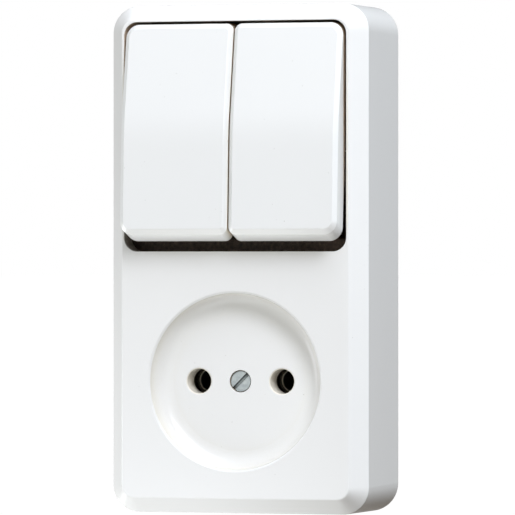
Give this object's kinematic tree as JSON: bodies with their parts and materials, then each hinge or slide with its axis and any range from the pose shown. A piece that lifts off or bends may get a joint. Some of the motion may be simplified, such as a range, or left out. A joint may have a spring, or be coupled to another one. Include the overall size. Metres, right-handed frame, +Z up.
{
  "type": "combination wall socket",
  "caption": "Surface-mounted combination for a wall: a pair of rocker switches above a round two-pin socket in one white bevelled cover.",
  "frame": {"origin": "middle of the back face, on the wall plane", "axes": "+X to the right seen from the front, +Y back into the wall, +Z up; the front faces -Y"},
  "size_m": [0.0592, 0.0352, 0.1124],
  "materials": {
    "white_cover": "satin-gloss white moulding",
    "white_rocker": "gloss white moulding",
    "brown_phenolic": "dark brown phenolic moulding",
    "natural_plastic": "natural nylon",
    "zinc_screw": "bright zinc plating",
    "steel": "plated steel",
    "brass": "bare brass",
    "silver_contact": "silver contact metal"
  },
  "bodies": {
    "housing": {"base": "brown_phenolic", "front_cover": "white_cover", "cover_screw": "zinc_screw", "screw_bush": "brass", "rocker_axle": "steel", "common_contact_bar": "brass", "fixed_buttons": "silver_contact", "switch_terminals": "brass", "switch_terminal_screws": "steel", "socket_terminals": "brass", "socket_terminal_screws": "steel", "left_fixed_contact": "brass", "right_fixed_contact": "brass", "left_socket_contact": "brass", "right_socket_contact": "brass"},
    "left_rocker": {"left_rocker_cap": "white_rocker", "left_rocker_cradle": "natural_plastic", "left_plunger": "natural_plastic", "left_spring": "steel"},
    "right_rocker": {"right_rocker_cap": "white_rocker", "right_rocker_cradle": "natural_plastic", "right_plunger": "natural_plastic", "right_spring": "steel"},
    "left_lever": {"left_contact_lever": "brass", "left_moving_button": "silver_contact"},
    "right_lever": {"right_contact_lever": "brass", "right_moving_button": "silver_contact"}
  },
  "joints": [
    {"name": "left_rocker_tip", "type": "hinge", "parent": "housing", "child": "left_rocker", "pos_m": [-0.01243, -0.0185, 0.0269], "axis": [1, 0, 0], "range_deg": [0, 13.4]},
    {"name": "right_rocker_tip", "type": "hinge", "parent": "housing", "child": "right_rocker", "pos_m": [0.01243, -0.0185, 0.0269], "axis": [1, 0, 0], "range_deg": [0, 13.4]},
    {"name": "left_lever_tip", "type": "hinge", "parent": "housing", "child": "left_lever", "pos_m": [-0.01243, -0.0064, 0.0269], "axis": [1, 0, 0], "range_deg": [-20.1, 0]},
    {"name": "right_lever_tip", "type": "hinge", "parent": "housing", "child": "right_lever", "pos_m": [0.01243, -0.0064, 0.0269], "axis": [1, 0, 0], "range_deg": [-20.1, 0]}
  ],
  "couplings": [
    {"joint": "left_lever_tip", "follows": "left_rocker_tip", "ratio": -1.5},
    {"joint": "right_lever_tip", "follows": "right_rocker_tip", "ratio": -1.5}
  ]
}
